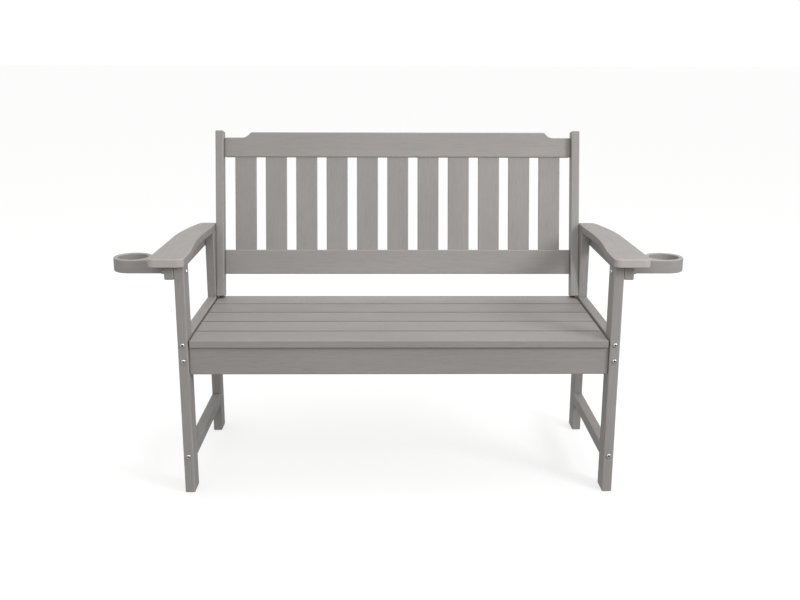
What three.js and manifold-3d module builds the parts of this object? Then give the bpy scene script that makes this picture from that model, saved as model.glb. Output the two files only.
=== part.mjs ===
// Two-seat garden bench in moulded poly-lumber boards, with a cup holder fixed outside each arm.
// Millimetres. X runs along the seat, Y from the front legs to the back, Z up from the ground.
// The front faces of the front legs lie in the plane Y = 0 until the bench is centred at the end.

import * as THREE from 'three';
import { mergeVertices } from 'three/addons/utils/BufferGeometryUtils.js';
import Module from 'manifold-3d';

const wasm = await Module();
wasm.setup();

// Clearance left between boards that touch, and around a shank in its hole
const GAP = 0.3;
const SHANK_CLEARANCE = 0.4;

// Legs and the boards that lie in the plane of the legs
const FRAME_WIDTH = 1135;
const LEG_THICKNESS = 26;
const LEG_DEPTH = 58;
const REAR_LEG_FRONT = 441;
const SIDE_RAIL_BOTTOM = 347;
const SIDE_RAIL_TOP = 426;
const STRETCHER_BOTTOM = 86;
const STRETCHER_TOP = 120;

// Seat
const SEAT_HEIGHT = 420;
const SEAT_SLAT_THICKNESS = 18;
const SEAT_SLAT_COUNT = 5;
const SEAT_SLAT_PITCH = 95.5;
const SEAT_SLAT_WIDTH = 91.2;
const SEAT_END_GAP = 4;
const APRON_SETBACK = 9;
const APRON_THICKNESS = 21;
const APRON_HEIGHT = 75.3;
const REAR_APRON_FRONT = 443;
const CLEAT_WIDTH = 24;
const CLEAT_HEIGHT = 22;
const BATTEN_WIDTH = 40;
const BATTEN_OFFSET = 180;

// Back panel: s runs up along the stiles, n runs back from their front faces
const BACK_TILT = THREE.MathUtils.degToRad(12.2);
const BACK_FOOT_Y = 439.3;
const BACK_FOOT_Z = 427.8;
const STILE_THICKNESS = 24;
const STILE_DEPTH = 39;
const STILE_LENGTH = 492;
const RAIL_SETBACK = 21;
const BOTTOM_RAIL_FROM = 65.9;
const BOTTOM_RAIL_TO = 138.7;
const TOP_RAIL_FROM = 415.8;
const TOP_RAIL_SHOULDER = 473.6;
const TOP_RAIL_TO = 489.4;
const SHOULDER_END_X = 466;
const SHOULDER_TOP_X = 440;
const BACK_SLAT_COUNT = 11;
const BACK_SLAT_PITCH = 91;
const BACK_SLAT_WIDTH = 63;
const BACK_SLAT_THICKNESS = 12;
const BACK_SLAT_SETBACK = 25;
const MORTISE_DEPTH = 12;

// Arms
const ARM_UNDERSIDE = 618.5;
const ARM_THICKNESS = 21;
const ARM_SEGMENTS = 16;
const BEARER_WIDTH = 24.5;
const BEARER_BOTTOM = 580;
const BEARER_BACK = 478;

// Cup holders: a square foot against the arm bearer, and a ring outside the arm
const HOLDER_HEIGHT = 35;
const HOLDER_FRONT = 60;
const HOLDER_FOOT_WIDTH = 48;
const HOLDER_SIDE_GAP = 1;
const HOLDER_CORNER = 4;
const RING_RADIUS = 50;
const CUP_RADIUS = 39;
const RING_CENTRE_X = 694.5;
const FOOT_FILLET = 20;
const HOLDER_SEGMENTS = 20;

// Fasteners
const BOLT_SHANK_RADIUS = 3;
const BOLT_HEAD_RADIUS = 6.3;
const BOLT_HEAD_HEIGHT = 3.4;
const BOLT_LENGTH = 80;
const ARM_BOLT_LENGTH = 60;
const BACK_BOLT_LENGTH = 44;
const BOLT_SIDES = 12;
const SIDE_RAIL_BOLT_HEIGHTS = [408, 365];
const STRETCHER_BOLT_HEIGHT = 102.5;
const ARM_BOLT_HEIGHT = 595.5;
const BACK_BOLT_STATIONS = [22, 120];
const HOLDER_BOLT_LENGTH = 48;
const HOLDER_BOLT_X = 610;
const HOLDER_BOLTS = [['front', 73], ['rear', 95]];

// Places that follow from the sizes above
const LEG_OUTER_X = FRAME_WIDTH / 2;
const LEG_INNER_X = LEG_OUTER_X - LEG_THICKNESS;
const LEG_TOP = ARM_UNDERSIDE - GAP;
const REAR_LEG_BACK = REAR_LEG_FRONT + LEG_DEPTH - 1;
const SLAT_UNDERSIDE = SEAT_HEIGHT - SEAT_SLAT_THICKNESS;
const APRON_TOP = SLAT_UNDERSIDE - GAP;
const APRON_BACK = APRON_SETBACK + APRON_THICKNESS;
const STILE_INNER_X = LEG_INNER_X - STILE_THICKNESS;
const BEARER_OUTER_X = LEG_OUTER_X + BEARER_WIDTH;
const HOLDER_INNER_X = BEARER_OUTER_X + HOLDER_SIDE_GAP;
const HOLDER_BOTTOM = LEG_TOP - HOLDER_HEIGHT;

const SIDES = [['left', -1], ['right', 1]];
const UP = new THREE.Vector3(0, 1, 0);

const material = (color, roughness, metalness = 0) =>
  new THREE.MeshStandardMaterial({ color, roughness, metalness, flatShading: true });
const makeBoardMaterial = () => material(0x97928d, 0.6);
const makeSteelMaterial = () => material(0xc9cacb, 0.28, 1);

const bench = new THREE.Group();
const backPanel = new THREE.Group();
backPanel.position.set(0, BACK_FOOT_Y, BACK_FOOT_Z);
backPanel.rotation.x = -BACK_TILT;
bench.add(backPanel);

// ---------- solids ----------

function solidFrom(geometry) {
  const bare = geometry.clone();
  bare.deleteAttribute('normal');
  bare.deleteAttribute('uv');
  const welded = mergeVertices(bare);
  return new wasm.Manifold(new wasm.Mesh({
    numProp: 3,
    vertProperties: new Float32Array(welded.attributes.position.array),
    triVerts: new Uint32Array(welded.index.array),
  }));
}

function geometryFrom(solid) {
  const mesh = solid.getMesh();
  const geometry = new THREE.BufferGeometry();
  geometry.setAttribute('position', new THREE.BufferAttribute(new Float32Array(mesh.vertProperties), 3));
  geometry.setIndex(new THREE.BufferAttribute(new Uint32Array(mesh.triVerts), 1));
  return geometry;
}

function cut(geometry, cutters) {
  return cutters.length === 0
    ? geometry
    : geometryFrom(cutters.reduce((solid, cutter) => solid.subtract(solidFrom(cutter)), solidFrom(geometry)));
}

// A box between two opposite corners, given in any order
function box([x0, y0, z0], [x1, y1, z1]) {
  const geometry = new THREE.BoxGeometry(Math.abs(x1 - x0), Math.abs(y1 - y0), Math.abs(z1 - z0));
  return geometry.translate((x0 + x1) / 2, (y0 + y1) / 2, (z0 + z1) / 2);
}

// A round hole's cutter, from one end point to the other
function drill(from, to, radius) {
  const start = new THREE.Vector3(...from);
  const run = new THREE.Vector3(...to).sub(start);
  const geometry = new THREE.CylinderGeometry(radius, radius, run.length(), BOLT_SIDES);
  geometry.applyQuaternion(new THREE.Quaternion().setFromUnitVectors(UP, run.clone().normalize()));
  const middle = start.addScaledVector(run, 0.5);
  return geometry.translate(middle.x, middle.y, middle.z);
}

// A flat outline drawn in the XY plane, given a thickness upward from z
function slab(shape, z, thickness, curveSegments) {
  const geometry = new THREE.ExtrudeGeometry(shape, { depth: thickness, bevelEnabled: false, curveSegments });
  return geometry.translate(0, 0, z);
}

function place(group, name, geometry, meshMaterial) {
  const mesh = new THREE.Mesh(geometry, meshMaterial);
  mesh.name = name;
  group.add(mesh);
  return mesh;
}

const addBoard = (name, geometry, group = bench) => place(group, name, geometry, makeBoardMaterial());

// ---------- fasteners ----------

// A pan-head bolt along +Y: its head stands on the plane y = 0 and its shank hangs below
function boltGeometry(length) {
  const tip = 1;
  const socketRadius = 2.3;
  const socketDepth = 1.8;
  const rim = 1.1;
  const profile = [
    [0, -length],
    [BOLT_SHANK_RADIUS - tip, -length],
    [BOLT_SHANK_RADIUS, -length + tip],
    [BOLT_SHANK_RADIUS, 0],
    [BOLT_HEAD_RADIUS, 0],
    [BOLT_HEAD_RADIUS, rim],
    [BOLT_HEAD_RADIUS * 0.78, BOLT_HEAD_HEIGHT * 0.85],
    [socketRadius, BOLT_HEAD_HEIGHT],
    [socketRadius, BOLT_HEAD_HEIGHT - socketDepth],
    [0, BOLT_HEAD_HEIGHT - socketDepth],
  ];
  return new THREE.LatheGeometry(profile.map(([r, y]) => new THREE.Vector2(r, y)), BOLT_SIDES);
}

// seat is the point where the head bears, and facing is the way the head looks
function addFastener(name, geometry, seat, facing, group = bench) {
  const direction = new THREE.Vector3(...facing);
  const mesh = place(group, name, geometry, makeSteelMaterial());
  mesh.quaternion.setFromUnitVectors(UP, direction);
  mesh.position.set(...seat).addScaledVector(direction, GAP);
}

// ---------- legs and side frames ----------

const BOLT_HOLE_RADIUS = BOLT_SHANK_RADIUS + SHANK_CLEARANCE;
const LEG_BOLT_HEIGHTS = [...SIDE_RAIL_BOLT_HEIGHTS, STRETCHER_BOLT_HEIGHT];
const BOLT_X = (LEG_OUTER_X + LEG_INNER_X) / 2;
const ARM_BOLT_Y = LEG_DEPTH / 2;

// The bolt holes that run front to back through a leg and into the ends of its boards
function lengthwiseHoles(side, fromY, toY, heights) {
  return heights.map((z) => drill([side * BOLT_X, fromY, z], [side * BOLT_X, toY, z], BOLT_HOLE_RADIUS));
}

// A point of the back panel's side view, (s, n), in the bench's own axes
function backPoint(x, s, n) {
  return [
    x,
    BACK_FOOT_Y + s * Math.sin(BACK_TILT) + n * Math.cos(BACK_TILT),
    BACK_FOOT_Z + s * Math.cos(BACK_TILT) - n * Math.sin(BACK_TILT),
  ];
}

function armBoltHole(side) {
  const from = [side * (LEG_INNER_X - 1), ARM_BOLT_Y, ARM_BOLT_HEIGHT];
  const to = [side * (BEARER_OUTER_X + 2), ARM_BOLT_Y, ARM_BOLT_HEIGHT];
  return drill(from, to, BOLT_HOLE_RADIUS);
}

function addLegs(label, side) {
  const overrun = 2;
  const frontLeg = box([side * LEG_INNER_X, 0, 0], [side * LEG_OUTER_X, LEG_DEPTH, LEG_TOP]);
  addBoard(`front_leg_${label}`, cut(frontLeg, [
    ...lengthwiseHoles(side, -overrun, LEG_DEPTH + overrun, LEG_BOLT_HEIGHTS),
    armBoltHole(side),
  ]));
  const rearLeg = box([side * LEG_INNER_X, REAR_LEG_FRONT, 0], [side * LEG_OUTER_X, REAR_LEG_BACK, LEG_TOP]);
  const backBoltHoles = BACK_BOLT_STATIONS.map((s) => drill(
    backPoint(side * (LEG_INNER_X - 1), s, STILE_DEPTH / 2),
    backPoint(side * (LEG_OUTER_X + 1), s, STILE_DEPTH / 2),
    BOLT_HOLE_RADIUS,
  ));
  addBoard(`rear_leg_${label}`, cut(rearLeg, [
    ...lengthwiseHoles(side, REAR_LEG_FRONT - overrun, REAR_LEG_BACK + overrun, LEG_BOLT_HEIGHTS),
    ...backBoltHoles,
  ]));
}

// A board between a front and a rear leg, drilled at both ends for the leg bolts
function sideBoard(side, bottom, top, boltHeights) {
  const front = LEG_DEPTH + GAP;
  const back = REAR_LEG_FRONT - GAP;
  const holeDepth = BOLT_LENGTH - LEG_DEPTH + 2;
  return cut(box([side * LEG_INNER_X, front, bottom], [side * LEG_OUTER_X, back, top]), [
    ...lengthwiseHoles(side, front - 1, front + holeDepth, boltHeights),
    ...lengthwiseHoles(side, back - holeDepth, back + 1, boltHeights),
  ]);
}

function addSideBoards(label, side) {
  addBoard(`side_rail_${label}`, sideBoard(side, SIDE_RAIL_BOTTOM, SIDE_RAIL_TOP, SIDE_RAIL_BOLT_HEIGHTS));
  addBoard(`lower_stretcher_${label}`, sideBoard(side, STRETCHER_BOTTOM, STRETCHER_TOP, [STRETCHER_BOLT_HEIGHT]));
}

function addLegBolts(label, side) {
  const places = ['upper', 'middle', 'lower'];
  LEG_BOLT_HEIGHTS.forEach((z, i) => {
    addFastener(`front_bolt_${label}_${places[i]}`, boltGeometry(BOLT_LENGTH), [side * BOLT_X, 0, z], [0, -1, 0]);
    addFastener(`rear_bolt_${label}_${places[i]}`, boltGeometry(BOLT_LENGTH),
      [side * BOLT_X, REAR_LEG_BACK, z], [0, 1, 0]);
  });
}

// ---------- arms ----------

// The arm's outline for the right side; side = -1 mirrors it
function armShape(side) {
  const front = -32;
  const rear = REAR_LEG_BACK;
  const outer = 627;
  const cornerRadius = 20;
  const x = (value) => side * value;
  const shape = new THREE.Shape();
  shape.moveTo(x(553), front);
  shape.lineTo(x(outer - cornerRadius), front);
  shape.quadraticCurveTo(x(outer), front, x(outer), front + cornerRadius);
  shape.lineTo(x(623), 300);
  shape.quadraticCurveTo(x(618), 385, x(594), 478);
  shape.quadraticCurveTo(x(589), rear, x(574), rear);
  shape.lineTo(x(542), rear);
  shape.lineTo(x(542), 450);
  shape.bezierCurveTo(x(543), 400, x(550), 340, x(550), 270);
  shape.bezierCurveTo(x(550), 160, x(535), 110, x(535), 20);
  shape.lineTo(x(535), front + cornerRadius);
  shape.quadraticCurveTo(x(535), front, x(553), front);
  return shape;
}

// The holes under one arm for the bolts that hold its cup holder
function holderBoltHoles(side) {
  return HOLDER_BOLTS.map(([, y]) => drill(
    [side * HOLDER_BOLT_X, y, HOLDER_BOTTOM - 1],
    [side * HOLDER_BOLT_X, y, HOLDER_BOTTOM + HOLDER_BOLT_LENGTH + 1],
    BOLT_HOLE_RADIUS,
  ));
}

function addArm(label, side) {
  const arm = slab(armShape(side), ARM_UNDERSIDE, ARM_THICKNESS, ARM_SEGMENTS);
  addBoard(`armrest_${label}`, cut(arm, holderBoltHoles(side)));

  const inner = side * (LEG_OUTER_X + GAP);
  const bearer = box([inner, 0, BEARER_BOTTOM], [side * BEARER_OUTER_X, BEARER_BACK, LEG_TOP]);
  addBoard(`arm_bearer_${label}`, cut(bearer, [armBoltHole(side)]));
  addFastener(`arm_bolt_${label}`, boltGeometry(ARM_BOLT_LENGTH),
    [side * LEG_INNER_X, ARM_BOLT_Y, ARM_BOLT_HEIGHT], [-side, 0, 0]);
}

// ---------- cup holders ----------

// The right-hand holder: its foot's front edge runs straight into the ring's front,
// and its back edge meets the ring in a hollow fillet
function holderShape() {
  const footBack = HOLDER_FRONT + HOLDER_FOOT_WIDTH;
  const ringY = HOLDER_FRONT + RING_RADIUS;
  const filletY = footBack + FOOT_FILLET;
  const filletX = RING_CENTRE_X - Math.sqrt((RING_RADIUS + FOOT_FILLET) ** 2 - (filletY - ringY) ** 2);
  const meeting = Math.atan2(filletY - ringY, filletX - RING_CENTRE_X);
  const cornerX = HOLDER_INNER_X + HOLDER_CORNER;
  const shape = new THREE.Shape();
  shape.moveTo(cornerX, HOLDER_FRONT);
  shape.lineTo(RING_CENTRE_X, HOLDER_FRONT);
  shape.absarc(RING_CENTRE_X, ringY, RING_RADIUS, -Math.PI / 2, meeting, false);
  shape.absarc(filletX, filletY, FOOT_FILLET, meeting - Math.PI, -Math.PI / 2, true);
  shape.lineTo(cornerX, footBack);
  shape.absarc(cornerX, footBack - HOLDER_CORNER, HOLDER_CORNER, Math.PI / 2, Math.PI, false);
  shape.lineTo(HOLDER_INNER_X, HOLDER_FRONT + HOLDER_CORNER);
  shape.absarc(cornerX, HOLDER_FRONT + HOLDER_CORNER, HOLDER_CORNER, Math.PI, Math.PI * 1.5, false);
  const cup = new THREE.Path();
  cup.absarc(RING_CENTRE_X, ringY, CUP_RADIUS, 0, Math.PI * 2, true);
  shape.holes.push(cup);
  return shape;
}

function mirrored(geometry) {
  const flipped = geometry.clone().scale(-1, 1, 1);
  const welded = mergeVertices(flipped);
  const index = welded.index.array;
  for (let i = 0; i < index.length; i += 3) {
    [index[i], index[i + 1]] = [index[i + 1], index[i]];
  }
  return welded;
}

function addCupHolder(label, side) {
  const right = slab(holderShape(), HOLDER_BOTTOM, HOLDER_HEIGHT, HOLDER_SEGMENTS);
  const holder = side > 0 ? right : mirrored(right);
  addBoard(`cup_holder_${label}`, cut(holder, holderBoltHoles(side)));
  for (const [place, y] of HOLDER_BOLTS) {
    addFastener(`cup_holder_bolt_${label}_${place}`, boltGeometry(HOLDER_BOLT_LENGTH),
      [side * HOLDER_BOLT_X, y, HOLDER_BOTTOM], [0, 0, -1]);
  }
}

// ---------- seat ----------

function addSeat() {
  const slatEnd = LEG_INNER_X - SEAT_END_GAP;
  for (let i = 0; i < SEAT_SLAT_COUNT; i += 1) {
    const front = i * SEAT_SLAT_PITCH;
    addBoard(`seat_slat_${i + 1}`,
      box([-slatEnd, front, SLAT_UNDERSIDE], [slatEnd, front + SEAT_SLAT_WIDTH, SEAT_HEIGHT]));
  }
  const apronEnd = LEG_INNER_X - GAP;
  const apronBottom = SLAT_UNDERSIDE - APRON_HEIGHT;
  addBoard('front_apron', box([-apronEnd, APRON_SETBACK, apronBottom], [apronEnd, APRON_BACK, APRON_TOP]));
  addBoard('rear_apron',
    box([-apronEnd, REAR_APRON_FRONT, apronBottom], [apronEnd, REAR_APRON_FRONT + APRON_THICKNESS, APRON_TOP]));
  const bearerFront = APRON_BACK + GAP;
  const bearerBack = REAR_APRON_FRONT - GAP;
  for (const [label, side] of SIDES) {
    const battenInner = side * (BATTEN_OFFSET - BATTEN_WIDTH / 2);
    const battenOuter = side * (BATTEN_OFFSET + BATTEN_WIDTH / 2);
    addBoard(`seat_batten_${label}`,
      box([battenInner, bearerFront, APRON_TOP - CLEAT_HEIGHT], [battenOuter, bearerBack, APRON_TOP]));
    addBoard(`seat_cleat_${label}`,
      box([side * (apronEnd - CLEAT_WIDTH), bearerFront, APRON_TOP - CLEAT_HEIGHT],
        [side * apronEnd, bearerBack, APRON_TOP]));
  }
}

// ---------- back panel, drawn upright with its foot at the origin ----------

function backSlatLeft(i) {
  const span = (BACK_SLAT_COUNT - 1) * BACK_SLAT_PITCH + BACK_SLAT_WIDTH;
  return i * BACK_SLAT_PITCH - span / 2;
}

// The pockets that hold the slat ends, cut between two heights
function mortises(fromS, toS) {
  return Array.from({ length: BACK_SLAT_COUNT }, (_, i) => box(
    [backSlatLeft(i) - GAP, BACK_SLAT_SETBACK - GAP, fromS],
    [backSlatLeft(i) + BACK_SLAT_WIDTH + GAP, BACK_SLAT_SETBACK + BACK_SLAT_THICKNESS + GAP, toS],
  ));
}

// The top rail seen from the front: a raised middle with a hollow curve down to each shoulder
function topRailShape(end) {
  const rise = TOP_RAIL_TO - TOP_RAIL_SHOULDER;
  const run = SHOULDER_END_X - SHOULDER_TOP_X;
  const radius = (run ** 2 + rise ** 2) / (2 * rise);
  const sweep = Math.asin(run / radius);
  const centreS = TOP_RAIL_SHOULDER + radius;
  const shape = new THREE.Shape();
  shape.moveTo(-end, TOP_RAIL_FROM);
  shape.lineTo(end, TOP_RAIL_FROM);
  shape.lineTo(end, TOP_RAIL_SHOULDER);
  shape.absarc(SHOULDER_END_X, centreS, radius, -Math.PI / 2, -Math.PI / 2 - sweep, true);
  shape.absarc(-SHOULDER_END_X, centreS, radius, -Math.PI / 2 + sweep, -Math.PI / 2, true);
  shape.lineTo(-end, TOP_RAIL_SHOULDER);
  return shape;
}

function addBackPanel() {
  const railEnd = STILE_INNER_X - GAP;
  const railBack = STILE_DEPTH;
  for (const [label, side] of SIDES) {
    const stile = box([side * STILE_INNER_X, 0, 0], [side * (LEG_INNER_X - GAP), STILE_DEPTH, STILE_LENGTH]);
    const boltEnd = LEG_OUTER_X - BACK_BOLT_LENGTH - 1;
    const holes = BACK_BOLT_STATIONS.map((s) => drill(
      [side * boltEnd, STILE_DEPTH / 2, s],
      [side * LEG_OUTER_X, STILE_DEPTH / 2, s],
      BOLT_HOLE_RADIUS,
    ));
    addBoard(`back_stile_${label}`, cut(stile, holes), backPanel);
    addFastener(`back_bolt_${label}`, boltGeometry(BACK_BOLT_LENGTH),
      backPoint(side * LEG_OUTER_X, BACK_BOLT_STATIONS[0], STILE_DEPTH / 2), [side, 0, 0]);
  }

  const bottomRail = box([-railEnd, RAIL_SETBACK, BOTTOM_RAIL_FROM], [railEnd, railBack, BOTTOM_RAIL_TO]);
  addBoard('back_bottom_rail',
    cut(bottomRail, mortises(BOTTOM_RAIL_TO - MORTISE_DEPTH, BOTTOM_RAIL_TO + 1)), backPanel);

  const topRail = slab(topRailShape(railEnd), 0, railBack - RAIL_SETBACK, ARM_SEGMENTS);
  topRail.rotateX(Math.PI / 2);
  topRail.translate(0, railBack, 0);
  addBoard('back_top_rail', cut(topRail, mortises(TOP_RAIL_FROM - 1, TOP_RAIL_FROM + MORTISE_DEPTH)), backPanel);

  const slatFrom = BOTTOM_RAIL_TO - MORTISE_DEPTH + GAP;
  const slatTo = TOP_RAIL_FROM + MORTISE_DEPTH - GAP;
  for (let i = 0; i < BACK_SLAT_COUNT; i += 1) {
    const left = backSlatLeft(i);
    addBoard(`back_slat_${i + 1}`, box(
      [left, BACK_SLAT_SETBACK, slatFrom],
      [left + BACK_SLAT_WIDTH, BACK_SLAT_SETBACK + BACK_SLAT_THICKNESS, slatTo],
    ), backPanel);
  }
}

for (const [label, side] of SIDES) {
  addLegs(label, side);
  addSideBoards(label, side);
  addLegBolts(label, side);
  addArm(label, side);
  addCupHolder(label, side);
}
addSeat();
addBackPanel();

// The origin is on the ground, below the middle of the bench
const extent = new THREE.Box3().setFromObject(bench);
bench.position.y = -(extent.min.y + extent.max.y) / 2;

export default bench;
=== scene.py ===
"""Looks for the garden bench: boards with eased edges and an embossed grain, steel bolts, light and camera.

Everything is in metres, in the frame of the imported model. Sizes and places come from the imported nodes.
"""

import math
import random

import bpy
import bmesh
from mathutils import Matrix, Vector
from mathutils.geometry import tessellate_polygon


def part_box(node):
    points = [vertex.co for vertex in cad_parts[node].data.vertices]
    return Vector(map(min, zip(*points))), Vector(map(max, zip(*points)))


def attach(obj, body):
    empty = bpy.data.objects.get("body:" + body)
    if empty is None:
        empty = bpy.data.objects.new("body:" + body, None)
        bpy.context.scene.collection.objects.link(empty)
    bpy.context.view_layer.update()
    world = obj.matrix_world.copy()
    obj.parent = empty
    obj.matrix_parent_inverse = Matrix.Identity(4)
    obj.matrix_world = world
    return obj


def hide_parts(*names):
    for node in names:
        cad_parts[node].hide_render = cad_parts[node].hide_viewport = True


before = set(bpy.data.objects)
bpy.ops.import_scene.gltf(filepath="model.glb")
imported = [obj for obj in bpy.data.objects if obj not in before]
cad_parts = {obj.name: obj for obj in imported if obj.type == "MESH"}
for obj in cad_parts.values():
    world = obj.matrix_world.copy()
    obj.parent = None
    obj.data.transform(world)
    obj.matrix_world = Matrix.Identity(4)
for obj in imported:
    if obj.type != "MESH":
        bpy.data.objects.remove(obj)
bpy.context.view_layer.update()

MM = 0.001
SIDES = (("left", -1), ("right", 1))
BODY = "root"

# Boards: their eased edges, and how far apart the lines of their surface grid may lie
LEG_EDGE = 3.2 * MM
SEAT_EDGE = 0.9 * MM
RAIL_EDGE = 3.0 * MM
SLAT_EDGE = 2.6 * MM
ARM_EDGE = 2.2 * MM
HOLDER_EDGE = 2.6 * MM
SUPPORT_SPACING = 80 * MM

# How deep the marks for the painted seam shade and the lighter front wall reach, and the margin kept from the
# arm's top and bottom faces
SEAM_REACH = 0.5 * MM
FRONT_WALL_REACH = 12 * MM
CAP_MARGIN = 0.1 * MM

# Fasteners
GAP = 0.3 * MM
SHANK_RADIUS = 3.0 * MM
SHANK_HOLE_RADIUS = 3.4 * MM
HEAD_RADIUS = 6.3 * MM
HEAD_HEIGHT = 3.4 * MM
SOCKET_APOTHEM = 2.2 * MM
SOCKET_DEPTH = 2.9 * MM
THREAD_PITCH = 1.0 * MM
THREAD_DEPTH = 0.55 * MM
THREAD_LENGTH = 24 * MM
ROUND_SIDES = 48
HOLE_OVERRUN = 2 * MM

# Back panel
BACK_BOLT_DEPTH = 19.5 * MM
BACK_BOLT_STATIONS = (22 * MM, 120 * MM)
BACK_BOLT_HOLE_INNER_X = 522 * MM
BACK_BOLT_HOLE_OUTER_X = 600 * MM
BACK_SLAT_COUNT = 11
MORTISE_GAP = 0.3 * MM
TOP_RAIL_SHOULDER = 473.6 * MM
SHOULDER_END_X = 466 * MM
SHOULDER_TOP_X = 440 * MM
SHOULDER_NOSE = 5 * MM
TOP_RAIL_CORNER = 4.5 * MM

# Seat
SEAT_SLAT_COUNT = 5

# Cup holders
FOOT_WIDTH = 48 * MM
FOOT_FILLET = 20 * MM
FOOT_CORNER = 4 * MM
RING_RADIUS = 50 * MM
CUP_RADIUS = 39 * MM

# Light and floor: the sky's strength behind the bench, its share in front of it, and the light from below
SKY_LIGHT = 1.05
ROOM_SHARE = 0.72
GROUND_LIGHT = 0.45
FLOOR_TONE = 0.35
FLOOR_HALF = 60.0
LIGHTS = (
    # name, place, the point it faces, size and watts
    ("top", (0.5, 0.3, 3.6), (0, 0, 0.4), 2.0, 30),
    ("key", (2.3, -1.9, 2.0), (0, 0, 0.5), 0.9, 46),
    ("front", (-0.6, -4.0, 2.2), (0, 0, 0.5), 1.6, 36),
)

# Camera, with its turns in radians and its lens in millimetres
CAMERA_PLACE = (-0.0295, -2.7001, 1.1504)
CAMERA_PITCH = 0.251
CAMERA_YAW = 0.0126
CAMERA_ROLL = 0.003
CAMERA_LENS = 44.49
CAMERA_SENSOR = 36.0

random_draw = random.Random(41)


# ---------- meshes ----------

def mesh_from(vertices, faces):
    mesh = bpy.data.meshes.new("piece")
    mesh.from_pydata([tuple(v) for v in vertices], [], [tuple(f) for f in faces])
    work = bmesh.new()
    work.from_mesh(mesh)
    bmesh.ops.remove_doubles(work, verts=work.verts, dist=1e-7)
    bmesh.ops.recalc_face_normals(work, faces=work.faces)
    work.to_mesh(mesh)
    work.free()
    mesh.update()
    return mesh


def grid_lines(half, radius):
    """Where the surface grid crosses one axis: three lines round each edge and support lines between."""
    inner = half - radius
    ends = [inner + radius * math.tan(math.radians(a)) for a in (0.0, 22.5, 45.0)]
    count = max(1, round(2 * inner / SUPPORT_SPACING))
    middle = [-inner + 2 * inner * i / count for i in range(1, count)]
    return [-e for e in reversed(ends)] + middle + ends


def rounded_box(low, high, radius):
    """A box between two corners with rounded edges and corners, all in quads."""
    centre = (Vector(low) + Vector(high)) / 2
    half = (Vector(high) - Vector(low)) / 2
    lines = [grid_lines(h, radius) for h in half]
    last = [len(line) - 1 for line in lines]
    found, vertices, faces = {}, [], []

    def vertex(index):
        if index not in found:
            p = Vector([lines[a][index[a]] for a in range(3)])
            inner = Vector([max(radius - half[a], min(half[a] - radius, p[a])) for a in range(3)])
            found[index] = len(vertices)
            vertices.append(centre + inner + (p - inner).normalized() * radius)
        return found[index]

    for axis in range(3):
        u, v = (axis + 1) % 3, (axis + 2) % 3
        for end in (0, last[axis]):
            for i in range(last[u]):
                for j in range(last[v]):
                    corner = []
                    for du, dv in ((0, 0), (1, 0), (1, 1), (0, 1)):
                        index = [0, 0, 0]
                        index[axis], index[u], index[v] = end, i + du, j + dv
                        corner.append(vertex(tuple(index)))
                    faces.append(corner)
    return mesh_from(vertices, faces)


def shifted(outline, distance):
    """The closed outline moved towards its left-hand side, which is where the material is."""
    moved = []
    for i, p in enumerate(outline):
        before, after = outline[i - 1], outline[(i + 1) % len(outline)]
        e1, e2 = (p - before).normalized(), (after - p).normalized()
        n1, n2 = Vector((-e1.y, e1.x)), Vector((-e2.y, e2.x))
        middle = (n1 + n2).normalized()
        moved.append(p + middle * (distance / max(0.2, middle.dot(n1))))
    return moved


def rounded_slab(outer, holes, thickness, radius):
    """A slab along Z with rounded edges. Its outer outline runs anticlockwise and its holes clockwise."""
    levels = []
    for angle in (0, 22.5, 45, 67.5, 90):
        a = math.radians(angle)
        levels.append((radius * (1 - math.sin(a)), radius * (1 - math.cos(a))))
    levels += [(inset, thickness - z) for inset, z in reversed(levels)]
    vertices, faces, caps = [], [], ([], [])
    for outline in [outer, *holes]:
        count = len(outline)
        first = len(vertices)
        for inset, z in levels:
            vertices += [Vector((p.x, p.y, z)) for p in shifted(outline, inset)]
        for level in range(len(levels) - 1):
            for i in range(count):
                a, b = first + level * count + i, first + level * count + (i + 1) % count
                faces.append((a, b, b + count, a + count))
        caps[0].append(list(range(first, first + count)))
        caps[1].append(list(range(first + (len(levels) - 1) * count, first + len(levels) * count)))
    for cap in caps:
        if holes:
            flat = [index for loop in cap for index in loop]
            triangles = tessellate_polygon([[vertices[i] for i in loop] for loop in cap])
            faces += [[flat[i] for i in triangle] for triangle in triangles]
        else:
            faces.append(cap[0])
    return mesh_from(vertices, faces)


def cylinder_mesh(start, end, radius, sides=24):
    """A plain round cutter between two points."""
    start, end = Vector(start), Vector(end)
    turn = (end - start).to_track_quat("Z", "Y").to_matrix()
    vertices = []
    for p in (start, end):
        for i in range(sides):
            a = 2 * math.pi * i / sides
            vertices.append(p + turn @ Vector((radius * math.cos(a), radius * math.sin(a), 0)))
    faces = [(i, (i + 1) % sides, sides + (i + 1) % sides, sides + i) for i in range(sides)]
    faces += [list(range(sides)), list(range(sides, 2 * sides))]
    return mesh_from(vertices, faces)


def box_mesh(low, high):
    x0, y0, z0 = low
    x1, y1, z1 = high
    vertices = [(x, y, z) for x in (x0, x1) for y in (y0, y1) for z in (z0, z1)]
    faces = [(0, 1, 3, 2), (4, 6, 7, 5), (0, 4, 5, 1), (2, 3, 7, 6), (0, 2, 6, 4), (1, 5, 7, 3)]
    return mesh_from(vertices, faces)


def joined(meshes):
    """Several meshes as one."""
    work = bmesh.new()
    for mesh in meshes:
        work.from_mesh(mesh)
    result = bpy.data.meshes.new("joined")
    work.to_mesh(result)
    work.free()
    return result


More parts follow.
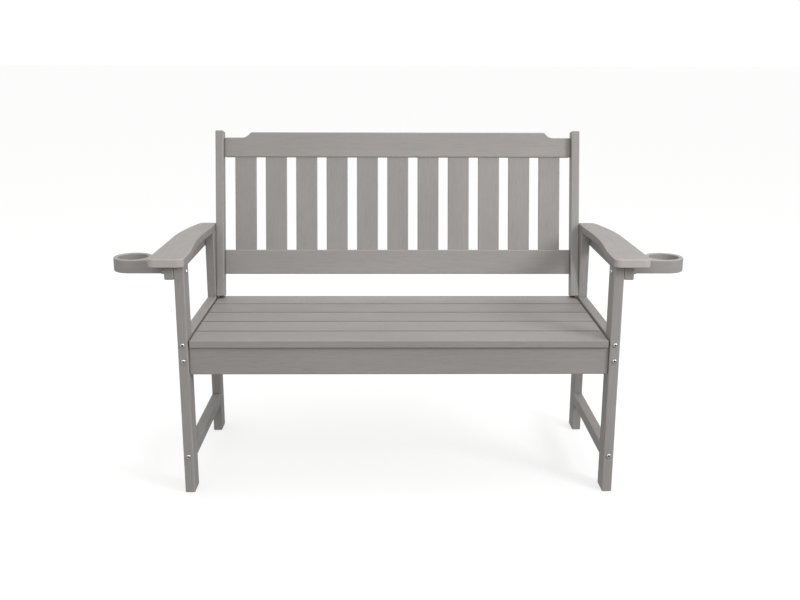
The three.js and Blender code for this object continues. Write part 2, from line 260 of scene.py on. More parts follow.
def less(mesh, cutters):
    """The mesh with the cutters taken out of it."""
    if not cutters:
        return mesh
    collection = bpy.context.scene.collection
    body = bpy.data.objects.new("body", mesh)
    cutter = bpy.data.objects.new("cutter", joined(cutters))
    collection.objects.link(body)
    collection.objects.link(cutter)
    modifier = body.modifiers.new("cut", "BOOLEAN")
    modifier.operation = "DIFFERENCE"
    modifier.solver = "EXACT"
    modifier.object = cutter
    bpy.context.view_layer.update()
    result = bpy.data.meshes.new_from_object(body.evaluated_get(bpy.context.evaluated_depsgraph_get()))
    bpy.data.objects.remove(body)
    bpy.data.objects.remove(cutter)
    return result


# ---------- what the materials read ----------

def edge_share(offset, half, radius):
    """How far round an edge a point lies, from 0 on a flat face to 1 at the middle of the edge."""
    parts = sorted(max(0.0, (abs(o) - (h - radius)) / radius) for o, h in zip(offset, half))
    return min(1.0, 2 * parts[2] * parts[1])


def store(mesh, name, values, kind="FLOAT"):
    attribute = mesh.attributes.new(name, kind, "POINT")
    attribute.data.foreach_set("vector" if kind == "FLOAT_VECTOR" else "value", values)


def mark_grain(mesh, low, high, along, radius, flat_axis=None):
    """Stores where each point lies along, across and through the board, and how much of an edge it is."""
    centre = (Vector(low) + Vector(high)) / 2
    half = (Vector(high) - Vector(low)) / 2
    order = (along, (along + 1) % 3, (along + 2) % 3)
    seed = Vector([random_draw.uniform(0, 40) for _ in range(3)])
    tone = random_draw.uniform(-1, 1)
    grain, edge, cut_end = [], [], []
    for vertex in mesh.vertices:
        offset = vertex.co - centre
        grain.extend(Vector([offset[a] for a in order]) + seed)
        if flat_axis is None:
            edge.append(edge_share(offset, half, radius))
            beyond = (abs(offset[along]) - (half[along] - radius)) / radius
            cut_end.append(max(0.0, min(1.0, beyond)))
        else:
            rise = max(0.0, (abs(offset[flat_axis]) - (half[flat_axis] - radius)) / radius)
            edge.append(2 * rise * math.sqrt(max(0.0, 1 - rise * rise)))
            cut_end.append(0.0)
    store(mesh, "grain", grain, "FLOAT_VECTOR")
    store(mesh, "edge", edge)
    store(mesh, "cut_end", cut_end)
    store(mesh, "board_tone", [tone] * len(mesh.vertices))


# ---------- materials ----------

class Nodes:
    """A short way to write a node tree."""

    def __init__(self, name):
        self.material = bpy.data.materials.new(name)
        self.material.use_nodes = True
        self.tree = self.material.node_tree
        self.tree.nodes.clear()
        self.shader = self.add("ShaderNodeBsdfPrincipled")
        output = self.add("ShaderNodeOutputMaterial")
        self.link(self.shader.outputs[0], output.inputs[0])

    def add(self, kind, **values):
        node = self.tree.nodes.new(kind)
        for key, value in values.items():
            setattr(node, key, value)
        return node

    def link(self, source, target):
        self.tree.links.new(source, target)

    def attribute(self, name, output="Fac"):
        return self.add("ShaderNodeAttribute", attribute_name=name).outputs[output]

    def scaled(self, vector, factors):
        node = self.add("ShaderNodeVectorMath", operation="MULTIPLY")
        self.link(vector, node.inputs[0])
        node.inputs[1].default_value = factors
        return node.outputs[0]

    def noise(self, vector, detail=3.0, roughness=0.55, distortion=0.0):
        node = self.add("ShaderNodeTexNoise")
        self.link(vector, node.inputs["Vector"])
        node.inputs["Scale"].default_value = 1.0
        node.inputs["Detail"].default_value = detail
        node.inputs["Roughness"].default_value = roughness
        node.inputs["Distortion"].default_value = distortion
        return node.outputs["Fac"]

    def ranged(self, value, low, high, to_low=0.0, to_high=1.0):
        node = self.add("ShaderNodeMapRange")
        self.link(value, node.inputs["Value"])
        for key, number in (("From Min", low), ("From Max", high), ("To Min", to_low), ("To Max", to_high)):
            node.inputs[key].default_value = number
        return node.outputs[0]

    def math(self, operation, a, b):
        node = self.add("ShaderNodeMath", operation=operation)
        for socket, value in zip(node.inputs, (a, b)):
            if isinstance(value, (int, float)):
                socket.default_value = value
            else:
                self.link(value, socket)
        return node.outputs[0]

    def mix(self, factor, a, b):
        node = self.add("ShaderNodeMix", data_type="RGBA")
        for socket, value in ((node.inputs[0], factor), (node.inputs[6], a), (node.inputs[7], b)):
            if isinstance(value, (int, float, tuple)):
                socket.default_value = value
            else:
                self.link(value, socket)
        return node.outputs[2]

    def bump(self, height, distance, strength=1.0):
        node = self.add("ShaderNodeBump")
        node.inputs["Strength"].default_value = strength
        node.inputs["Distance"].default_value = distance
        self.link(height, node.inputs["Height"])
        self.link(node.outputs[0], self.shader.inputs["Normal"])


def grey(level, warmth=1.0):
    """A warm grey, as linear colour."""
    return (level * (1 + 0.062 * warmth), level, level * (1 - 0.038 * warmth), 1.0)


def board_material(name, emboss):
    """Foamed plastic lumber: a warm grey with drawn-out pigment streaks and a pressed-in wood grain."""
    n = Nodes(name)
    grain = n.attribute("grain", "Vector")
    edge = n.attribute("edge")
    cut_end = n.attribute("cut_end")
    tone = n.attribute("board_tone")

    broad = n.noise(n.scaled(grain, (2.6, 11, 11)), detail=3, roughness=0.5)
    streaks = n.noise(n.scaled(grain, (7, 150, 150)), detail=4, roughness=0.6, distortion=0.3)
    fibres = n.noise(n.scaled(grain, (26, 640, 640)), detail=3, roughness=0.6)
    speckle = n.noise(n.scaled(grain, (900, 900, 900)), detail=2, roughness=0.5)
    smudges = n.noise(n.scaled(grain, (9, 9, 9)), detail=4, roughness=0.6)

    rings = n.add("ShaderNodeTexWave", wave_type="BANDS", bands_direction="Y", wave_profile="SAW")
    n.link(n.scaled(grain, (1.1, 9, 9)), rings.inputs["Vector"])
    rings.inputs["Scale"].default_value = 1.4
    rings.inputs["Distortion"].default_value = 7.0
    rings.inputs["Detail"].default_value = 2.0
    rings.inputs["Detail Scale"].default_value = 0.8

    base = n.mix(n.ranged(broad, 0.3, 0.7), grey(0.250), grey(0.280))
    base = n.mix(n.ranged(streaks, 0.36, 0.64), n.mix(0.14, base, grey(0.18)), base)
    base = n.mix(n.math("MULTIPLY", n.ranged(fibres, 0.5, 0.34), 0.30 * emboss), base, grey(0.16))
    base = n.mix(n.math("MULTIPLY", n.ranged(tone, -1, 1), 0.10), base, grey(0.40))
    # painted shade: the sides of the seat slats that face another slat are darkened almost to black
    painted_shade = n.math("MULTIPLY", n.attribute("seam_shade"), n.ranged(smudges, 0.3, 0.7, 0.95, 0.8))
    base = n.mix(painted_shade, base, grey(0.03))
    # painted highlight: the eased edges of the boards are lightened towards a pale warm grey
    edge_highlight = n.math("MULTIPLY", edge, n.ranged(smudges, 0.35, 0.65, 0.15, 0.55))
    base = n.mix(edge_highlight, base, grey(0.40, 0.7))
    # the arm's front wall is drawn lighter and pinker than the rest of the board
    lighter_front = n.math("MULTIPLY", n.attribute("lighter_front"), n.ranged(speckle, 0.3, 0.7, 0.75, 0.95))
    base = n.mix(lighter_front, base, grey(0.40, 1.3))
    base = n.mix(n.math("MULTIPLY", cut_end, n.ranged(speckle, 0.35, 0.65, 0.05, 0.3)), base, grey(0.2))
    n.link(base, n.shader.inputs["Base Color"])

    rough = n.ranged(streaks, 0.3, 0.7, 0.47, 0.62)
    rough = n.math("ADD", rough, n.ranged(smudges, 0.3, 0.7, -0.05, 0.05))
    rough = n.math("ADD", rough, n.math("MULTIPLY", cut_end, 0.12))
    n.link(rough, n.shader.inputs["Roughness"])
    n.shader.inputs["IOR"].default_value = 1.49
    n.shader.inputs["Specular IOR Level"].default_value = 0.45

    height = n.math("MULTIPLY", n.ranged(fibres, 0.3, 0.62), 0.55 * emboss)
    height = n.math("ADD", height, n.math("MULTIPLY", rings.outputs["Fac"], 0.35 * emboss))
    height = n.math("ADD", height, n.math("MULTIPLY", streaks, 0.5 * emboss))
    height = n.math("ADD", height, n.math("MULTIPLY", speckle, 0.12))
    n.bump(height, 0.32 * MM)
    return n.material


def steel_material():
    """Zinc-plated steel with a fine turned finish."""
    n = Nodes("bolt_steel")
    grain = n.attribute("grain", "Vector")
    clouds = n.noise(n.scaled(grain, (260, 260, 260)), detail=3)
    scratches = n.noise(n.scaled(grain, (900, 900, 5200)), detail=2)
    base = n.mix(n.ranged(clouds, 0.3, 0.7), (0.62, 0.62, 0.61, 1), (0.82, 0.82, 0.80, 1))
    # painted shade: the hex socket is darkened almost to black
    painted_shade = n.math("MULTIPLY", n.attribute("hollow"), n.ranged(clouds, 0.3, 0.7, 0.97, 0.9))
    base = n.mix(painted_shade, base, (0.02, 0.02, 0.02, 1))
    n.link(base, n.shader.inputs["Base Color"])
    n.shader.inputs["Metallic"].default_value = 1.0
    n.link(n.ranged(clouds, 0.3, 0.7, 0.2, 0.36), n.shader.inputs["Roughness"])
    n.bump(scratches, 0.02 * MM, 0.5)
    return n.material


BOARD = board_material("poly_board", 1.0)
HOLDER = board_material("holder_plastic", 0.55)
STEEL = steel_material()


def finish_piece(name, mesh, node, material, sharp_angle=52):
    """Puts a finished mesh in the scene, in place of its CAD node if it has one."""
    mesh.name = name
    mesh.materials.clear()
    mesh.materials.append(material)
    mesh.shade_smooth()
    mesh.set_sharp_from_angle(angle=math.radians(sharp_angle))
    piece = bpy.data.objects.new(name, mesh)
    bpy.context.scene.collection.objects.link(piece)
    weighted = piece.modifiers.new("weighted", "WEIGHTED_NORMAL")
    weighted.keep_sharp = True
    weighted.weight = 60
    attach(piece, BODY)
    if node:
        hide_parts(node)
    return piece


def add_board(node, low, high, along, radius, cutters=(), matrix=None):
    """One straight board: along is the axis that its grain follows, and matrix takes it into the frame."""
    mesh = less(rounded_box(low, high, radius), list(cutters))
    mark_grain(mesh, low, high, along, radius)
    if matrix is not None:
        mesh.transform(matrix)
    return finish_piece(f"look_{node}", mesh, node, BOARD)


# ---------- the back panel's own axes ----------

def panel_matrix():
    """Takes X, then backwards from the stiles' front faces, then up along the stiles, into the frame."""
    points = [v.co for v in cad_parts["back_stile_right"].data.vertices]
    foot = min(points, key=lambda p: p.y)
    top = max(points, key=lambda p: p.z)
    tilt = math.atan2(top.y - foot.y, top.z - foot.z)
    return Matrix.Translation((0, foot.y, foot.z)) @ Matrix.Rotation(-tilt, 4, "X")


PANEL = panel_matrix()


def panel_box(node):
    """A node's two corners in the panel's own axes."""
    inverse = PANEL.inverted()
    points = [inverse @ v.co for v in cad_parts[node].data.vertices]
    low = Vector([min(p[a] for p in points) for a in range(3)])
    high = Vector([max(p[a] for p in points) for a in range(3)])
    return low, high


# ---------- legs and side frames ----------

def leg_bolt_cutters(label, low, high):
    """The lengthwise bolt holes that pass through one board."""
    cutters = []
    for end in ("front", "rear"):
        for place in ("upper", "middle", "lower"):
            b_low, b_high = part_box(f"{end}_bolt_{label}_{place}")
            x, z = (b_low.x + b_high.x) / 2, (b_low.z + b_high.z) / 2
            if low.z < z < high.z and b_low.y < high.y and b_high.y > low.y:
                front = (x, b_low.y - HOLE_OVERRUN, z)
                back = (x, b_high.y + HOLE_OVERRUN, z)
                cutters.append(cylinder_mesh(front, back, SHANK_HOLE_RADIUS))
    return cutters


def arm_bolt_cutter(label):
    low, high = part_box(f"arm_bolt_{label}")
    y, z = (low.y + high.y) / 2, (low.z + high.z) / 2
    return cylinder_mesh((low.x - HOLE_OVERRUN, y, z), (high.x + HOLE_OVERRUN, y, z), SHANK_HOLE_RADIUS)


def back_bolt_points(side):
    """Where the back bolts' heads bear on the rear leg, in the frame."""
    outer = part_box("rear_leg_right")[1].x
    return [PANEL @ Vector((side * outer, BACK_BOLT_DEPTH, s)) for s in BACK_BOLT_STATIONS]


def back_bolt_cutters(side):
    """The back bolts' holes through a rear leg."""
    reach = 40 * MM
    overrun = 4 * MM
    return [
        cylinder_mesh(p + Vector((side * overrun, 0, 0)), p - Vector((side * reach, 0, 0)), SHANK_HOLE_RADIUS)
        for p in back_bolt_points(side)
    ]


def add_side(label, side):
    for node, radius, along in (
        (f"front_leg_{label}", LEG_EDGE, 2),
        (f"rear_leg_{label}", LEG_EDGE, 2),
        (f"side_rail_{label}", LEG_EDGE, 1),
        (f"lower_stretcher_{label}", LEG_EDGE, 1),
        (f"arm_bearer_{label}", RAIL_EDGE, 1),
    ):
        low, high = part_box(node)
        cutters = leg_bolt_cutters(label, low, high)
        if node.startswith(("front_leg", "arm_bearer")):
            cutters.append(arm_bolt_cutter(label))
        if node.startswith("rear_leg"):
            cutters += back_bolt_cutters(side)
        add_board(node, low, high, along, radius, cutters)


# ---------- seat ----------

def mark_seam_shade(mesh, low, high, in_front, behind):
    """Marks the long sides that face another slat, for painted shade in the gaps between them."""
    values = []
    for vertex in mesh.vertices:
        y = vertex.co.y
        in_seam = (in_front and y < low.y + SEAM_REACH) or (behind and y > high.y - SEAM_REACH)
        values.append(1.0 if in_seam else 0.0)
    store(mesh, "seam_shade", values)


def add_seat():
    slats = [f"seat_slat_{i + 1}" for i in range(SEAT_SLAT_COUNT)]
    for node in slats:
        low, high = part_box(node)
        piece = add_board(node, low, high, 0, SEAT_EDGE)
        mark_seam_shade(piece.data, low, high, node != slats[0], node != slats[-1])
    for node in ("front_apron", "rear_apron"):
        add_board(node, *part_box(node), 0, RAIL_EDGE)
    for label, _ in SIDES:
        for kind in ("seat_batten", "seat_cleat"):
            add_board(f"{kind}_{label}", *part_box(f"{kind}_{label}"), 1, RAIL_EDGE)


# ---------- back panel ----------

BACK_SLATS = [f"back_slat_{i + 1}" for i in range(BACK_SLAT_COUNT)]


def mortise_cutters(low_s, high_s):
    """The pockets that hold the slat ends, cut between two heights of the panel."""
    cutters = []
    for node in BACK_SLATS:
        low, high = panel_box(node)
        start = (low.x - MORTISE_GAP, low.y - MORTISE_GAP, low_s)
        end = (high.x + MORTISE_GAP, high.y + MORTISE_GAP, high_s)
        cutters.append(box_mesh(start, end))
    return cutters


def top_rail_outline(low, high):
    """The top rail seen from the front, with its raised middle and hollow shoulders."""
    rise, run = high.z - TOP_RAIL_SHOULDER, SHOULDER_END_X - SHOULDER_TOP_X
    radius = (run ** 2 + rise ** 2) / (2 * rise)
    sweep = math.asin(run / radius)
    centre_s = TOP_RAIL_SHOULDER + radius
    steps = 14
    hollow = []
    for i in range(steps + 1):
        a = -math.pi / 2 - sweep * i / steps
        hollow.append(Vector((SHOULDER_END_X + radius * math.cos(a), centre_s + radius * math.sin(a))))
    # the sharp meeting of the hollow and the top edge is eased with a short curve
    last, before = hollow[-1], hollow[-2]
    start = last - (last - before).normalized() * SHOULDER_NOSE
    end = last - Vector((SHOULDER_NOSE, 0))
    right = [p for p in hollow if (p - last).length > SHOULDER_NOSE] + [
        start * (1 - t) ** 2 + last * 2 * t * (1 - t) + end * t ** 2 for t in [k / 8 for k in range(9)]
    ]
    left = [Vector((-p.x, p.y)) for p in reversed(right)]
    corner = TOP_RAIL_CORNER

    def arc(cx, cy, from_angle):
        return [
            Vector((cx + corner * math.cos(a), cy + corner * math.sin(a)))
            for a in [math.radians(from_angle + 15 * k) for k in range(7)]
        ]

    return (
        arc(low.x + corner, low.z + corner, 180)
        + arc(high.x - corner, low.z + corner, 270)
        + arc(high.x - corner, TOP_RAIL_SHOULDER - corner, 0)
        + right + left
        + arc(low.x + corner, TOP_RAIL_SHOULDER - corner, 90)
    )


def add_back():
    for label, side in SIDES:
        node = f"back_stile_{label}"
        low, high = panel_box(node)
        cutters = []
        for station in BACK_BOLT_STATIONS:
            start = Vector((side * BACK_BOLT_HOLE_INNER_X, BACK_BOLT_DEPTH, station))
            end = Vector((side * BACK_BOLT_HOLE_OUTER_X, BACK_BOLT_DEPTH, station))
            cutters.append(cylinder_mesh(start, end, SHANK_HOLE_RADIUS))
        add_board(node, low, high, 2, RAIL_EDGE, cutters, PANEL)
    for node in BACK_SLATS:
        add_board(node, *panel_box(node), 2, SLAT_EDGE, (), PANEL)

    slat_low, slat_high = panel_box(BACK_SLATS[0])
    overrun = 1 * MM
    low, high = panel_box("back_bottom_rail")
    cutters = mortise_cutters(slat_low.z - MORTISE_GAP, high.z + overrun)
    add_board("back_bottom_rail", low, high, 0, RAIL_EDGE, cutters, PANEL)

    low, high = panel_box("back_top_rail")
    mesh = rounded_slab(top_rail_outline(low, high), [], high.y - low.y, RAIL_EDGE)
    # the slab is drawn in X and Y, so it is stood up: its Y runs up the panel and its thickness forwards
    mesh.transform(Matrix.Translation((0, high.y, 0)) @ Matrix.Rotation(math.pi / 2, 4, "X"))
    mesh = less(mesh, mortise_cutters(low.z - overrun, slat_high.z + MORTISE_GAP))
    mark_grain(mesh, low, high, 0, RAIL_EDGE, flat_axis=1)
    mesh.transform(PANEL)
    finish_piece("look_back_top_rail", mesh, "back_top_rail", BOARD)


# ---------- arms ----------

def bezier(points, count):
    """Points along a quadratic or cubic curve, without its first point."""
    found = []
    for k in range(1, count + 1):
        t = k / count
        level = [Vector(p) for p in points]
        while len(level) > 1:
            level = [a * (1 - t) + b * t for a, b in zip(level, level[1:])]
        found.append(level[0])
    return found


def arm_outline(side):
    """The arm seen from above, in millimetres from the bench's middle and from the legs' front faces."""
    front, rear = -32, 498
    outer, inner = 627, 535
    points = [Vector((553, front)), Vector((outer - 20, front))]
    points += bezier([(outer - 20, front), (outer, front), (outer, front + 20)], 12)
    points.append(Vector((623, 300)))
    points += bezier([(623, 300), (618, 385), (594, 478)], 24)
    points += bezier([(594, 478), (589, rear), (574, rear)], 10)
    points.append(Vector((547, rear)))
    points += bezier([(547, rear), (542, rear), (542, rear - 5)], 6)
    points.append(Vector((542, 450)))
    points += bezier([(542, 450), (543, 400), (550, 340), (550, 270)], 20)
    points += bezier([(550, 270), (550, 160), (535, 110), (535, 20)], 24)
    points.append(Vector((inner, front + 20)))
    points += bezier([(inner, front + 20), (inner, front), (553, front)], 12)[:-1]
    leg_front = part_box("front_leg_right")[0].y
    outline = [Vector((side * p.x * MM, leg_front + p.y * MM)) for p in points]
    return outline if side > 0 else outline[::-1]


def holder_bolt_places(label):
    """Each cup holder bolt's node, X, Y, and the heights of its head and tip."""
    places = []
    for end in ("front", "rear"):
        node = f"cup_holder_bolt_{label}_{end}"
        low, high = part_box(node)
        places.append((node, (low.x + high.x) / 2, (low.y + high.y) / 2, low.z, high.z))
    return places


def holder_bolt_cutters(label):
    return [
        cylinder_mesh((x, y, low_z - HOLE_OVERRUN), (x, y, high_z + 1 * MM), SHANK_HOLE_RADIUS)
        for _, x, y, low_z, high_z in holder_bolt_places(label)
    ]


def mark_lighter_front(mesh, low, high):
    """Marks the arm's front wall, which the board material draws lighter and pinker."""
    values = []
    for vertex in mesh.vertices:
        on_wall = low.z + CAP_MARGIN < vertex.co.z < high.z - CAP_MARGIN
        values.append(1.0 if on_wall and vertex.co.y < low.y + FRONT_WALL_REACH else 0.0)
    store(mesh, "lighter_front", values)


def add_arm(label, side):
    node = f"armrest_{label}"
    low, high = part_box(node)
    mesh = rounded_slab(arm_outline(side), [], high.z - low.z, ARM_EDGE)
    mesh.transform(Matrix.Translation((0, 0, low.z)))
    mesh = less(mesh, holder_bolt_cutters(label))
    mark_grain(mesh, low, high, 1, ARM_EDGE, flat_axis=2)
    mark_lighter_front(mesh, low, high)
    finish_piece(f"look_{node}", mesh, node, BOARD)


# ---------- cup holders ----------

def arc_points(centre, radius, start, end, count):
    return [
        Vector((centre[0] + radius * math.cos(a), centre[1] + radius * math.sin(a)))
        for a in [start + (end - start) * k / count for k in range(count + 1)]
    ]


def holder_outlines(side, low, high):
    """The holder's outline and its cup hole, from its box: a square foot that runs into a ring."""
    inner, outer = (low.x, high.x) if side > 0 else (-high.x, -low.x)
    front = low.y
    ring_x, ring_y = outer - RING_RADIUS, front + RING_RADIUS
    foot_back = front + FOOT_WIDTH
    fillet_y = foot_back + FOOT_FILLET
    fillet_x = ring_x - math.sqrt((RING_RADIUS + FOOT_FILLET) ** 2 - (fillet_y - ring_y) ** 2)
    meeting = math.atan2(fillet_y - ring_y, fillet_x - ring_x)
    corner_x = inner + FOOT_CORNER
    edge = arc_points((corner_x, foot_back - FOOT_CORNER), FOOT_CORNER, math.pi / 2, math.pi, 6)
    edge += arc_points((corner_x, front + FOOT_CORNER), FOOT_CORNER, math.pi, 1.5 * math.pi, 6)
    edge += arc_points((ring_x, ring_y), RING_RADIUS, -math.pi / 2, meeting, 60)
    edge += arc_points((fillet_x, fillet_y), FOOT_FILLET, meeting - math.pi, -math.pi / 2, 16)[1:]
    cup = arc_points((ring_x, ring_y), CUP_RADIUS, 2 * math.pi, 0, 72)[:-1]
    outlines = [edge, cup]
    if side < 0:
        outlines = [[Vector((-p.x, p.y)) for p in reversed(outline)] for outline in outlines]
    return outlines


def add_holder(label, side):
    node = f"cup_holder_{label}"
    low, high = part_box(node)
    edge, cup = holder_outlines(side, low, high)
    mesh = rounded_slab(edge, [cup], high.z - low.z, HOLDER_EDGE)
    mesh.transform(Matrix.Translation((0, 0, low.z)))
    mesh = less(mesh, holder_bolt_cutters(label))
    mark_grain(mesh, low, high, 0, HOLDER_EDGE, flat_axis=2)
    finish_piece(f"look_{node}", mesh, node, HOLDER)


# ---------- fasteners ----------

def hexagon(apothem, angle):
    """A hexagon's distance from its centre, in one direction."""
    sixth = math.pi / 3
    return apothem / math.cos((angle % sixth) - sixth / 2)


def lathe(rings):
    """A closed turned shape from rings of height and radius. A radius may be a function of the angle."""
    vertices, faces = [], []
    for height, radius in rings:
        for i in range(ROUND_SIDES):
            a = 2 * math.pi * i / ROUND_SIDES
            r = radius(a) if callable(radius) else radius
            vertices.append(Vector((r * math.cos(a), r * math.sin(a), height)))
    for level in range(len(rings) - 1):
        for i in range(ROUND_SIDES):
            j = (i + 1) % ROUND_SIDES
            a, b = level * ROUND_SIDES, (level + 1) * ROUND_SIDES
            faces.append((a + i, a + j, b + j, b + i))
    faces.append(list(range(ROUND_SIDES)))
    faces.append(list(range((len(rings) - 1) * ROUND_SIDES, len(rings) * ROUND_SIDES)))
    return mesh_from(vertices, faces)


def thread_rings(top, bottom):
    """Rings down a threaded shank. Each is tilted round the screw by moving its radius with the angle."""
    rings = []
    steps = 4
    count = int((top - bottom) / THREAD_PITCH * steps)
    for k in range(count + 1):
        z = top - (top - bottom) * k / count
        taper = min(1.0, k / 6, (count - k) / 6)

        def radius(angle, z=z, taper=taper):
            phase = (z / THREAD_PITCH + angle / (2 * math.pi)) % 1.0
            return SHANK_RADIUS - THREAD_DEPTH * taper * abs(2 * phase - 1)

        rings.append((z, radius))
    return rings


def bolt_mesh(length, threaded=0.0):
    """A domed socket-head bolt along +Z: its head stands on z = 0 and its shank hangs below."""
    socket_floor = HEAD_HEIGHT - SOCKET_DEPTH
    crown_radius = 2.95 * MM
    rings = [
        (socket_floor, lambda a: 0.55 * hexagon(SOCKET_APOTHEM, a)),
        (socket_floor + 0.15 * MM, lambda a: hexagon(SOCKET_APOTHEM, a)),
        (HEAD_HEIGHT - 0.45 * MM, lambda a: hexagon(SOCKET_APOTHEM, a)),
        (HEAD_HEIGHT - 0.12 * MM, lambda a: hexagon(SOCKET_APOTHEM + 0.3 * MM, a)),
        (HEAD_HEIGHT, crown_radius),
    ]
    rim = 0.9 * MM
    for angle in range(15, 91, 15):
        a = math.radians(angle)
        r = crown_radius + (HEAD_RADIUS - 0.15 * MM - crown_radius) * math.sin(a)
        rings.append((rim + (HEAD_HEIGHT - rim) * math.cos(a), r))
    rings += [
        (rim - 0.15 * MM, HEAD_RADIUS),
        (0.2 * MM, HEAD_RADIUS),
        (0.0, HEAD_RADIUS - 0.2 * MM),
        (0.0, SHANK_RADIUS),
    ]
    tip = 0.8 * MM
    if threaded:
        rings += thread_rings(-length + threaded, -length + tip)
    rings += [(-length + tip, SHANK_RADIUS - THREAD_DEPTH * 0.2), (-length, SHANK_RADIUS - tip)]
    return lathe(rings)


def mark_steel(mesh):
    """Steel reads its own place on the bolt, in metres, with a random start. The socket is marked for painted
    shade.
    """
    lip = HEAD_HEIGHT - 0.3 * MM
    reach = 1.3 * SOCKET_APOTHEM
    in_socket = [0 < v.co.z < lip and v.co.xy.length < reach for v in mesh.vertices]
    store(mesh, "hollow", [1.0 if inside else 0.0 for inside in in_socket])
    seed = Vector([random_draw.uniform(0, 10) for _ in range(3)])
    store(mesh, "grain", [value for vertex in mesh.vertices for value in vertex.co + seed], "FLOAT_VECTOR")


def add_fastener(name, node, mesh, seat, facing):
    """seat is where the head bears and facing is the way the head looks."""
    mark_steel(mesh)
    spin = Matrix.Rotation(random_draw.uniform(0, 2 * math.pi), 4, "Z")
    turn = Vector(facing).to_track_quat("Z", "Y").to_matrix().to_4x4()
    mesh.transform(Matrix.Translation(seat) @ turn @ spin)
    return finish_piece(name, mesh, node, STEEL, sharp_angle=38)


def add_bolts(label, side):
    for end, facing in (("front", -1), ("rear", 1)):
        for place in ("upper", "middle", "lower"):
            node = f"{end}_bolt_{label}_{place}"
            low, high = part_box(node)
            length = high.y - low.y - HEAD_HEIGHT
            seat_y = low.y + HEAD_HEIGHT if facing < 0 else high.y - HEAD_HEIGHT
            seat = Vector(((low.x + high.x) / 2, seat_y, (low.z + high.z) / 2))
            add_fastener(f"look_{node}", node, bolt_mesh(length), seat, (0, facing, 0))

    node = f"arm_bolt_{label}"
    low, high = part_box(node)
    length = high.x - low.x - HEAD_HEIGHT
    seat_x = low.x + HEAD_HEIGHT if side > 0 else high.x - HEAD_HEIGHT
    seat = Vector((seat_x, (low.y + high.y) / 2, (low.z + high.z) / 2))
    add_fastener(f"look_{node}", node, bolt_mesh(length, THREAD_LENGTH), seat, (-side, 0, 0))

    node = f"back_bolt_{label}"
    low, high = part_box(node)
    length = high.x - low.x - HEAD_HEIGHT
    lower, upper = back_bolt_points(side)
    outward = Vector((side, 0, 0))
    add_fastener(f"look_{node}", node, bolt_mesh(length), lower + outward * GAP, outward)
    add_fastener(f"back_upper_bolt_{label}", None, bolt_mesh(length), upper + outward * GAP, outward)

    for node, x, y, low_z, high_z in holder_bolt_places(label):
        seat = Vector((x, y, low_z + HEAD_HEIGHT))
        add_fastener(f"look_{node}", node, bolt_mesh(high_z - seat.z), seat, (0, 0, -1))


# ---------- room, light and camera ----------

def add_floor():
    """A pale floor that takes the bench's shadow. The world's lower half sends its light back up."""
    corners = [(x * FLOOR_HALF, y * FLOOR_HALF, 0) for x, y in ((-1, -1), (1, -1), (1, 1), (-1, 1))]
    mesh = mesh_from(corners, [(0, 1, 2, 3)])
    floor = bpy.data.objects.new("floor", mesh)
    bpy.context.scene.collection.objects.link(floor)
    n = Nodes("floor")
    n.shader.inputs["Base Color"].default_value = (FLOOR_TONE, FLOOR_TONE, FLOOR_TONE, 1)
    n.shader.inputs["Roughness"].default_value = 1.0
    n.shader.inputs["Specular IOR Level"].default_value = 0.0
    n.shader.inputs["Emission Color"].default_value = (1, 1, 1, 1)
    n.shader.inputs["Emission Strength"].default_value = SKY_LIGHT * (1 - FLOOR_TONE)
    mesh.materials.append(n.material)
    floor.visible_diffuse = False
    floor.visible_glossy = False


def add_light(name, place, target, size, power):
    light = bpy.data.lights.new(name, "AREA")
    light.shape = "SQUARE"
    light.size = size
    light.energy = power
    lamp = bpy.data.objects.new(name, light)
    lamp.location = place
    lamp.rotation_euler = (Vector(target) - Vector(place)).to_track_quat("-Z", "Y").to_euler()
    bpy.context.scene.collection.objects.link(lamp)


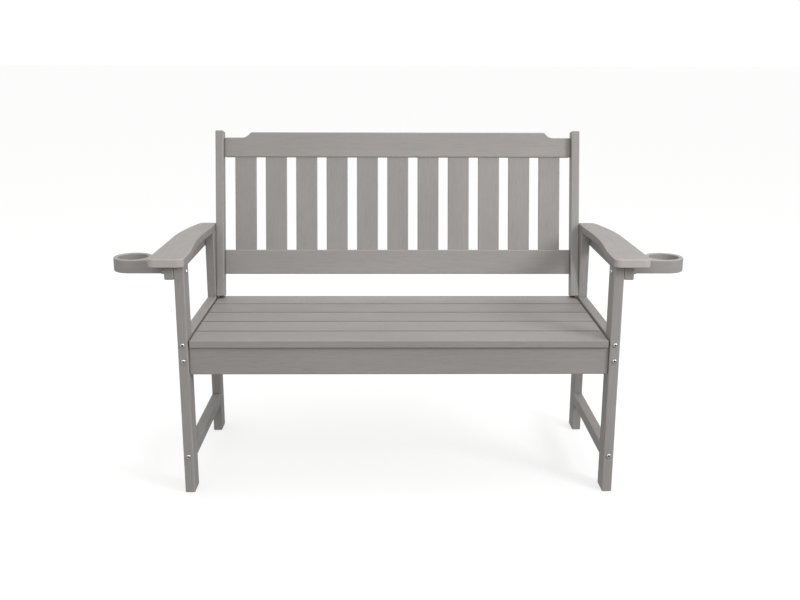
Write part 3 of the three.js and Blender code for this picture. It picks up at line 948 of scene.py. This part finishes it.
def add_world():
    """A pale studio, lit most from behind the bench and least from below. The camera sees it even."""
    world = bpy.data.worlds.new("studio")
    world.use_nodes = True
    tree = world.node_tree
    background = tree.nodes["Background"]
    direction = tree.nodes.new("ShaderNodeTexCoord")
    split = tree.nodes.new("ShaderNodeSeparateXYZ")
    tree.links.new(direction.outputs["Generated"], split.inputs[0])

    def ramp(axis, values):
        node = tree.nodes.new("ShaderNodeMapRange")
        for key, value in zip(("From Min", "From Max", "To Min", "To Max"), values):
            node.inputs[key].default_value = value
        tree.links.new(split.outputs[axis], node.inputs["Value"])
        return node.outputs[0]

    strength = tree.nodes.new("ShaderNodeMath")
    strength.operation = "MULTIPLY"
    tree.links.new(ramp("Z", (-0.25, -0.05, GROUND_LIGHT, SKY_LIGHT)), strength.inputs[0])
    tree.links.new(ramp("Y", (0.1, 0.6, ROOM_SHARE, 1.0)), strength.inputs[1])
    ray = tree.nodes.new("ShaderNodeLightPath")
    backdrop = tree.nodes.new("ShaderNodeMix")
    backdrop.inputs["B"].default_value = SKY_LIGHT
    tree.links.new(ray.outputs["Is Camera Ray"], backdrop.inputs["Factor"])
    tree.links.new(strength.outputs[0], backdrop.inputs["A"])
    tree.links.new(backdrop.outputs["Result"], background.inputs["Strength"])
    background.inputs["Color"].default_value = (1.0, 0.997, 0.99, 1)
    bpy.context.scene.world = world


def add_camera():
    """Stands where the bench is seen from the front, a little above the top of its back."""
    camera = bpy.data.cameras.new("camera")
    camera.sensor_width = CAMERA_SENSOR
    camera.lens = CAMERA_LENS
    level = math.cos(CAMERA_PITCH)
    forward = Vector((math.sin(CAMERA_YAW) * level, math.cos(CAMERA_YAW) * level, -math.sin(CAMERA_PITCH)))
    level_right = forward.cross(Vector((0, 0, 1))).normalized()
    level_up = level_right.cross(forward)
    right = math.cos(CAMERA_ROLL) * level_right + math.sin(CAMERA_ROLL) * level_up
    up = -math.sin(CAMERA_ROLL) * level_right + math.cos(CAMERA_ROLL) * level_up
    matrix = Matrix((right, up, -forward)).transposed().to_4x4()
    matrix.translation = CAMERA_PLACE
    piece = bpy.data.objects.new("camera", camera)
    piece.matrix_world = matrix
    bpy.context.scene.collection.objects.link(piece)
    bpy.context.scene.camera = piece


for label, side in SIDES:
    add_side(label, side)
    add_arm(label, side)
    add_holder(label, side)
    add_bolts(label, side)
add_seat()
add_back()
add_floor()
add_world()
for light in LIGHTS:
    add_light(*light)
add_camera()
bpy.context.scene.view_settings.view_transform = "Standard"
